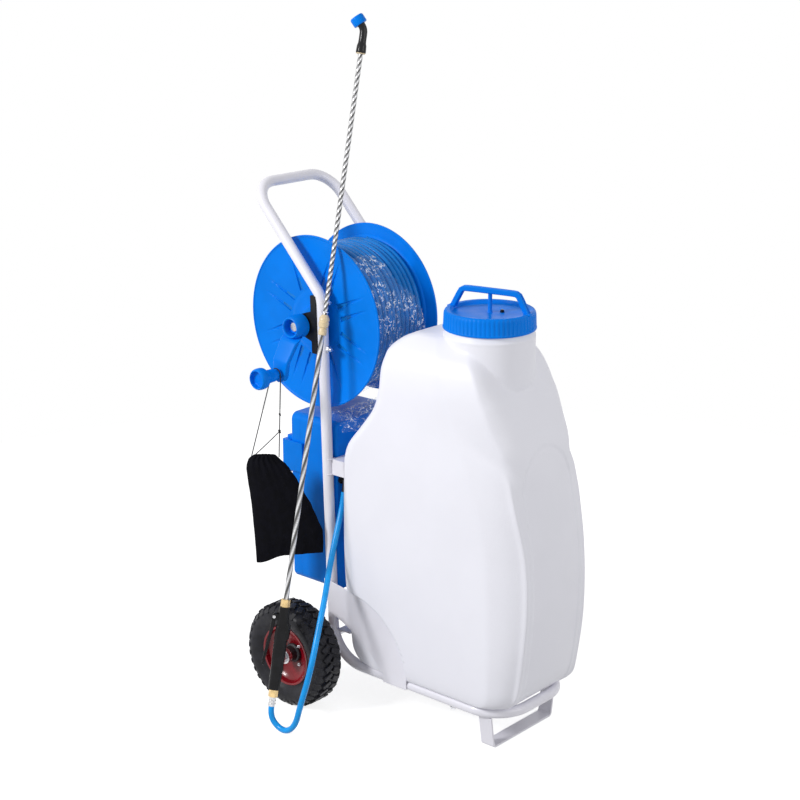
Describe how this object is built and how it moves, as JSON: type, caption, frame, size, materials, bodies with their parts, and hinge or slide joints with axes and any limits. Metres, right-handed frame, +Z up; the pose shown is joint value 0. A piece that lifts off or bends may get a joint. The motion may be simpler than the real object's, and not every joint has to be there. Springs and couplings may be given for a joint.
{
  "type": "wheeled sprayer cart",
  "caption": "Hand cart with a tall spray tank, a battery pump box, a cranked hose reel and a telescopic trigger lance on two wheels.",
  "frame": {"origin": "centre of the front foot's underside, on the floor", "axes": "+X towards the side away from the crank, +Y from the tank back to the handle, +Z up"},
  "size_m": [0.6596, 0.8498, 1.5888],
  "materials": {
    "frame_paint": "gloss paint",
    "zinc": "zinc plated",
    "black_plastic": "moulded",
    "tank_plastic": "blow moulded",
    "blue_plastic": "moulded",
    "bush": "machined",
    "brass": "machined",
    "rubber": "moulded",
    "rim_red": "gloss paint",
    "steel": "machined",
    "hose_blue": "extruded",
    "inner_hose": "extruded",
    "gasket": "moulded",
    "strainer": "moulded",
    "battery": "moulded",
    "pump": "satin paint",
    "lance_steel": "twisted tube",
    "lock_brass": "knurled",
    "ferrule": "crimped",
    "bag_fabric": "woven",
    "cord": "braided"
  },
  "bodies": {
    "frame": {"side_tube_right": "frame_paint", "side_tube_left": "frame_paint", "handle_tube": "frame_paint", "base_loop_tube": "frame_paint", "gusset_right": "frame_paint", "gusset_left": "frame_paint", "cross_member": "frame_paint", "rear_strap": "frame_paint", "axle_brackets": "frame_paint", "axle": "zinc", "axle_spacers": "zinc", "axle_nuts": "zinc", "front_foot": "frame_paint", "frame_bolts": "zinc", "lance_hook": "zinc", "bearing_blocks": "black_plastic", "bearing_bushes": "bush", "tank": "tank_plastic", "tank_strainer": "strainer", "suction_pipe": "strainer", "box_tub": "blue_plastic", "battery": "battery", "pump": "pump", "outlet_elbow": "brass", "reel_swivel": "brass", "lance_lower_tube": "lance_steel", "gun_body": "black_plastic", "gun_nuts": "brass", "hose_ferrule": "ferrule", "spray_hose": "hose_blue"},
    "wheel_right": {"tyre_right": "rubber", "rim_right": "rim_red", "hub_right": "steel", "bearings_right": "steel"},
    "wheel_left": {"tyre_left": "rubber", "rim_left": "rim_red", "hub_left": "steel", "bearings_left": "steel"},
    "reel": {"reel_flange_right": "blue_plastic", "reel_flange_left": "blue_plastic", "reel_drum": "blue_plastic", "hose_core": "inner_hose", "reel_shaft": "steel", "hose_winding": "hose_blue", "crank_arm": "blue_plastic"},
    "knob": {"crank_knob": "blue_plastic"},
    "bag": {"bag": "bag_fabric", "bag_cord": "cord"},
    "door": {"box_door": "blue_plastic"},
    "latch": {"door_latch": "blue_plastic"},
    "switch": {"power_switch": "black_plastic"},
    "dial": {"pressure_dial": "black_plastic"},
    "cap_seal": {"cap_gasket": "gasket"},
    "cap": {"tank_cap": "blue_plastic", "cap_breather": "black_plastic"},
    "lance_upper": {"lance_upper_tube": "lance_steel", "nozzle_elbow": "black_plastic"},
    "nozzle": {"nozzle_cap": "blue_plastic"},
    "lock_nut": {"lance_lock_nut": "lock_brass"},
    "trigger": {"gun_trigger": "black_plastic"}
  },
  "joints": [
    {"name": "wheel_right_spin", "type": "hinge", "parent": "frame", "child": "wheel_right", "pos_m": [-0.23, 0.486, 0.127], "axis": [1, 0, 0], "continuous": true},
    {"name": "wheel_left_spin", "type": "hinge", "parent": "frame", "child": "wheel_left", "pos_m": [0.23, 0.486, 0.127], "axis": [1, 0, 0], "continuous": true},
    {"name": "reel_spin", "type": "hinge", "parent": "frame", "child": "reel", "pos_m": [0, 0.531, 0.896], "axis": [1, 0, 0], "continuous": true},
    {"name": "knob_spin", "type": "hinge", "parent": "reel", "child": "knob", "pos_m": [-0.241, 0.54575, 0.79103], "axis": [1, 0, 0], "continuous": true},
    {"name": "bag_swing", "type": "hinge", "parent": "reel", "child": "bag", "pos_m": [-0.2123, 0.54575, 0.79103], "axis": [1, 0, 0], "continuous": true, "deforming": ["bag", "bag_cord"]},
    {"name": "door_swing", "type": "hinge", "parent": "frame", "child": "door", "pos_m": [0.117, 0.574, 0.46], "axis": [0, 0, -1], "range_deg": [0, 110]},
    {"name": "latch_flip", "type": "hinge", "parent": "door", "child": "latch", "pos_m": [-0.098, 0.6162, 0.5615], "axis": [0, 0, -1], "range_deg": [0, 50]},
    {"name": "switch_rock", "type": "hinge", "parent": "door", "child": "switch", "pos_m": [-0.045, 0.6025, 0.62], "axis": [-1, 0, 0], "range_deg": [0, 16]},
    {"name": "dial_turn", "type": "hinge", "parent": "door", "child": "dial", "pos_m": [0.035, 0.611, 0.62], "axis": [0, 1, 0], "range_deg": [0, 270]},
    {"name": "cap_lift", "type": "slide", "parent": "frame", "child": "cap_seal", "axis": [0, 0, 1], "range_m": [0, 0.15]},
    {"name": "cap_turn", "type": "hinge", "parent": "cap_seal", "child": "cap", "pos_m": [0, 0.097, 0.95], "axis": [0, 0, 1], "range_deg": [0, 360]},
    {"name": "lance_slide", "type": "slide", "parent": "frame", "child": "lance_upper", "axis": [0.2343, 0.0198, 0.972], "range_m": [-0.36, 0]},
    {"name": "lock_turn", "type": "hinge", "parent": "frame", "child": "lock_nut", "pos_m": [-0.15468, 0.44987, 0.91177], "axis": [0.2343, 0.0198, 0.972], "range_deg": [0, 180]},
    {"name": "nozzle_turn", "type": "hinge", "parent": "lance_upper", "child": "nozzle", "pos_m": [-0.00253, 0.46927, 1.56495], "axis": [-0.2484, 0.5254, 0.8138], "range_deg": [0, 350]},
    {"name": "trigger_squeeze", "type": "hinge", "parent": "frame", "child": "trigger", "pos_m": [-0.32589, 0.45255, 0.25954], "axis": [-0.7391, -0.6458, 0.1914], "range_deg": [0, 6.5], "stiffness_Nm_per_rad": 1, "springref_deg": -17.19}
  ],
  "couplings": [
    {"joint": "bag_swing", "follows": "reel_spin", "ratio": -1}
  ]
}
